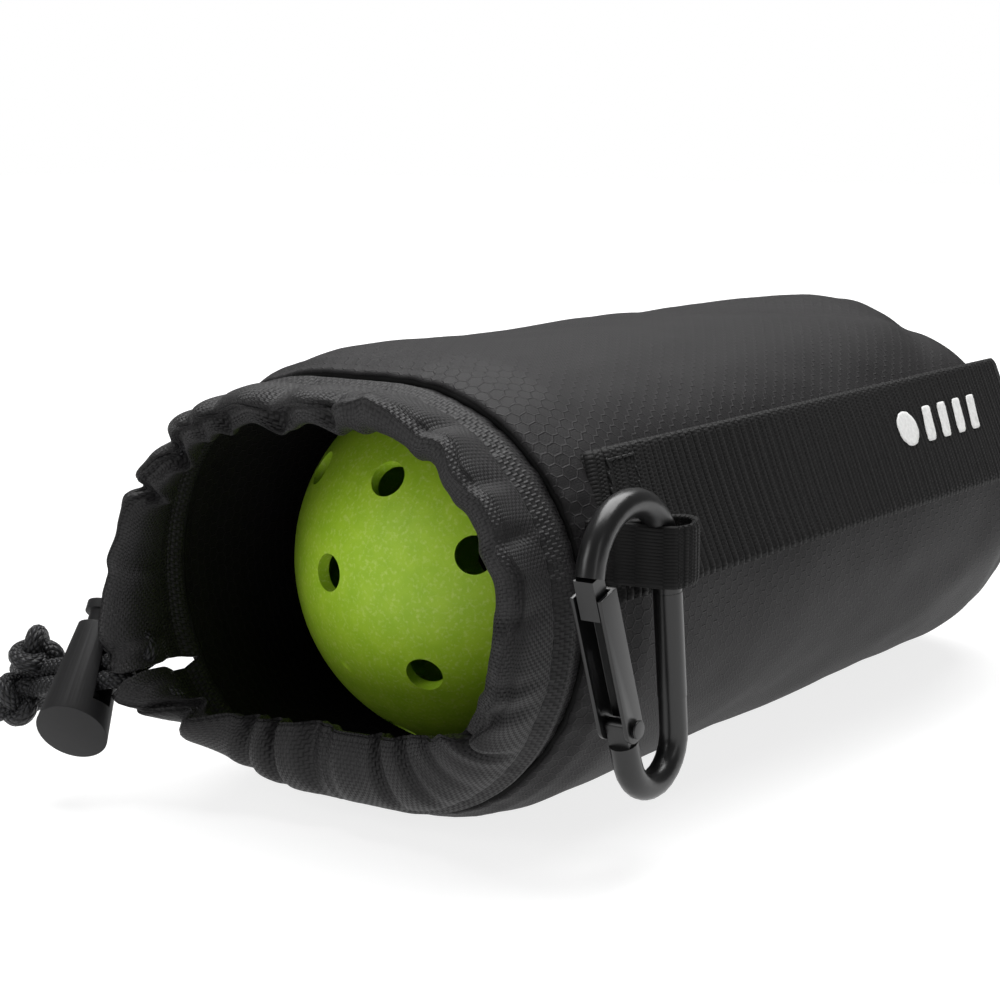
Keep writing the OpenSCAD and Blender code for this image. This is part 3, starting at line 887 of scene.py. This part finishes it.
def strap_at(distance):
    """Point and outward normal of the strap's middle line."""
    k = 1
    while k < len(strap_way) - 1 and strap_way[k] < distance:
        k += 1
    a, b = strap_line[k - 1], strap_line[k]
    t = (distance - strap_way[k - 1]) / max(strap_way[k] - strap_way[k - 1], 1e-9)
    way = (b - a).normalized()
    return a + (b - a) * t, Vector((way.y, -way.x, 0))


strap_rows = [strap_at(STRAP_LEN * j / STRAP_STEPS) for j in range(STRAP_STEPS + 1)]
RIB = 1.9
FRONT_SLANT = 7.0


def strap_cloth(u, v):
    j = round(v * STRAP_STEPS)
    point, out = strap_rows[j]
    z = (u - 0.5) * STRAP_W
    rib = 0.16 * math.cos(2 * math.pi * v * STRAP_LEN / RIB) * (1 - 0.75 * ease((v * STRAP_LEN - 45) / 45))
    edge = -0.45 * max(0, abs(2 * u - 1) - 0.93) / 0.07
    bow = 0.9 * math.sin(2 * math.pi * (v * 1.3 + 0.1)) * (u - 0.5) + 0.35 * math.sin(9 * v + 4 * u)
    p = point + out * (rib + edge + bow * math.sin(math.pi * min(1, max(0, (v - 0.12) / 0.8))))
    slant = FRONT_SLANT * u * (1 - ease((v * STRAP_LEN - 14) / 30))
    return on_strap(p.x, p.y + slant, z)


strap_piece = cloth("handle_webbing", 40, STRAP_STEPS, strap_cloth, (STRAP_W * MM, STRAP_LEN * MM), WEBBING)
finish_with(strap_piece, "SOLIDIFY", thickness=STRAP_T * MM, offset=0.0)
keep(strap_piece, "bag", "webbing", "handle_strap")
print(f"handle webbing {STRAP_LEN:.0f} mm long, {len(strap_piece.data.polygons)} faces")


def strap_stitch(distance, z, crossways):
    point, out = strap_at(distance)
    ahead, _ = strap_at(distance + 0.5)
    face = out * (STRAP_T / 2 + 0.12)
    slant = Vector((0, FRONT_SLANT * (z / STRAP_W + 0.5) * (1 - ease((distance - 14) / 30)), 0))
    a = on_strap(*(point + face + slant).xy, z)
    b = on_strap(*(point + face + slant).xy, z + 1)
    along = on_strap(*(ahead + face + slant).xy, z) - a
    normal = on_strap(*(point + out * 2).xy, z) - on_strap(*point.xy, z)
    return a, (b - a) if crossways else along, normal


front_rows = [strap_stitch(at, z, True) for at in (16.5, 25.0) for z in [-10 + 2.5 * k for k in range(9)]]
front_rows += [strap_stitch(17.5 + 2.2 * k, z, False) for z in (-10.5, 10.5) for k in range(4)]
front_row = stitch_row("handle_front_row", front_rows, 1.9)
keep(front_row, "bag", "thread", "strap_front_stitches")
rear_rows = [strap_stitch(STRAP_LEN - 4, z, True) for z in [-10 + 2.5 * k for k in range(9)]]
rear_row = stitch_row("handle_rear_row", rear_rows, 1.9)
keep(rear_row, "bag", "thread", "strap_rear_stitches")

# %% [markdown]
# ## A printed mark
#
# A thin white print near the handle's middle: a disc and four slanted bars, a plain pattern that stands
# for no maker. Each shape is a filled outline laid on the webbing's face, a tenth of a millimetre thick.

# %% Printed mark
PRINT = simple("white_print", (0.78, 0.78, 0.77), 0.5, 1400, 0.02, Specular_IOR_Level=0.4)
MARK_Z = 2.6
MARK_FROM = 118.0


def on_face(distance, z):
    """A point just above the webbing's outer face, in metres."""
    here = strap_cloth(z / STRAP_W + 0.5, distance / STRAP_LEN)
    point, out = strap_at(distance)
    outward = on_strap(point.x + out.x, point.y + out.y, z) - on_strap(point.x, point.y, z)
    return here + outward * (STRAP_T / 2 + 0.14)


def mark_shape(name, middle, half_along, half_up, lean, square):
    """A rounded shape from rings round its middle; square 2 is an ellipse, more is closer to a box."""
    points, faces = [], []
    rings, corners = 6, 48
    for ring in range(1, rings + 1):
        for k in range(corners):
            a = 2 * math.pi * k / corners
            c, s = math.cos(a), math.sin(a)
            x = math.copysign(abs(c) ** (2 / square), c) * half_along * ring / rings
            z = math.copysign(abs(s) ** (2 / square), s) * half_up * ring / rings
            points.append(on_face(middle + x + lean * z, MARK_Z + z))
    for ring in range(rings - 1):
        for k in range(corners):
            a, b = ring * corners + k, ring * corners + (k + 1) % corners
            faces.append((a, b, b + corners, a + corners))
    faces.append(tuple(reversed(range(corners))))
    return mesh_piece(name, points, faces, [], PRINT)


# name, place along the print, half its length, half its height, lean, squareness
MARKS = [("mark_disc", 0.0, 3.6, 3.6, 0.0, 2.0)]
MARKS += [(f"mark_bar_{k}", 8.5 + 6.4 * k, 1.7, 3.6, 0.25, 6.0) for k in range(4)]
for name, along, half_along, half_up, lean, square in MARKS:
    print_piece = mark_shape(name, MARK_FROM + along, half_along, half_up, lean, square)
    finish_with(print_piece, "SOLIDIFY", thickness=0.1 * MM, offset=0.0)
    keep(print_piece, "bag", "webbing")

# %% [markdown]
# ## The carabiner's loop
#
# A narrow ribbed tape runs from the seam, round the carabiner's spine and back, and its two ends are
# sewn down together beside the handle's front end.

# %% Carabiner loop
loop_low, loop_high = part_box("carabiner_loop")
LOOP_Z = loop_low[2] / MM - 0.7
LOOP_W = 10.0
SPINE = ((loop_high[0] - BAG_X) / MM - 5.3, (loop_high[1] - BAG_Y) / MM - 5.3)
LOOP_T = 1.0


def loop_route():
    x, y = SPINE
    ring = [(x + 4.8 * math.cos(a), y + 4.8 * math.sin(a)) for a in [math.radians(d) for d in range(-50, 161, 15)]]
    points = [(45.6, -0.4), (48.5, -0.3), (51.4, 0.3)] + ring + [(51.0, 3.6), (49.6, 1.6), (48.0, 0.9), (45.6, 0.9)]
    return smooth_route([(px, py, 0) for px, py in points], 10)


loop_line = loop_route()
loop_way = [0.0]
for a, b in zip(loop_line, loop_line[1:]):
    loop_way.append(loop_way[-1] + (b - a).length)
LOOP_LEN = loop_way[-1]


def loop_cloth(u, v):
    j = min(int(v * (len(loop_line) - 1) + 0.5), len(loop_line) - 1)
    a, b = loop_line[max(j - 1, 0)], loop_line[min(j + 1, len(loop_line) - 1)]
    way = (b - a).normalized()
    out = Vector((way.y, -way.x, 0))
    edge = abs(2 * u - 1)
    p = loop_line[j] + out * (0.07 * math.cos(2 * math.pi * loop_way[j] / 1.0) - 0.3 * max(0, edge - 0.85) / 0.15)
    return bag(p.x, p.y, LOOP_Z + u * LOOP_W + 0.25 * math.sin(loop_way[j] / 3))


loop_piece = cloth("loop_webbing", 20, len(loop_line) - 1, loop_cloth, (LOOP_W * MM, LOOP_LEN * MM), LOOP_WEBBING)
finish_with(loop_piece, "SOLIDIFY", thickness=LOOP_T * MM, offset=0.0)
keep(loop_piece, "bag", "webbing", "carabiner_loop")
loop_places = [(bag(48.6, -1.05, LOOP_Z + 1 + 1.5 * k), Vector((1, 0, 0)), Vector((0, -1, 0))) for k in range(6)]
loop_row = stitch_row("loop_row", loop_places, 2.0)
keep(loop_row, "bag", "thread", "loop_stitches")

# %% [markdown]
# ## Floor and light
#
# A plain white floor and a white surround, which is dimmer as a light than it looks. One large soft light
# stands above, a small one at the front left, and a weak tall one draws the highlights on the carabiner.

# %% Floor and light
scene = bpy.context.scene
scene.view_settings.view_transform = "Standard"
bpy.ops.object.select_all(action="DESELECT")
bpy.ops.mesh.primitive_plane_add(size=8, location=(0, 0, 0))
floor = bpy.context.object
floor.name = "floor"
paper = Finish("white_paper", (0.3, 0.3, 0.3), 0.9, Specular_IOR_Level=0.1, Emission_Color=(1, 1, 1))
away = paper.vector("LENGTH", paper.add("TexCoord", {}, 3), out=1)
paper.put(paper.shader, "Emission Strength", paper.add("MapRange", {0: away, 1: 0.25, 2: 0.8, 3: 0.8, 4: 1.1}))
floor.data.materials.append(paper.material)

world = bpy.data.worlds.new("surround")
scene.world = world
world.use_nodes = True
SURROUND_LIGHT = 0.2
backdrop = world.node_tree.nodes["Background"]
backdrop.inputs[0].default_value = (1, 1, 1, 1)
seen = world.node_tree.nodes.new("ShaderNodeLightPath")
level = world.node_tree.nodes.new("ShaderNodeMapRange")
level.inputs[3].default_value = SURROUND_LIGHT
level.inputs[4].default_value = 1.0
world.node_tree.links.new(seen.outputs["Is Camera Ray"], level.inputs[0])
world.node_tree.links.new(level.outputs[0], backdrop.inputs[1])


def lamp(name, place, target, size, power):
    light = bpy.data.lights.new(name, "AREA")
    light.shape = "RECTANGLE"
    light.size, light.size_y = size
    light.energy = power
    obj = bpy.data.objects.new(name, light)
    scene.collection.objects.link(obj)
    obj.location = place
    obj.rotation_euler = (Vector(target) - Vector(place)).to_track_quat("-Z", "Y").to_euler()
    return obj


lamp("above", (-0.1, 0.2, 1.0), (0, 0, 0.03), (1.0, 1.0), 20)
lamp("front_left", (-0.35, -1.0, 0.55), (0, -0.05, 0.04), (0.4, 0.5), 2.6)
lamp("strap_side", (1.1, -0.5, 0.4), (0.04, -0.05, 0.04), (0.2, 0.7), 0.9)
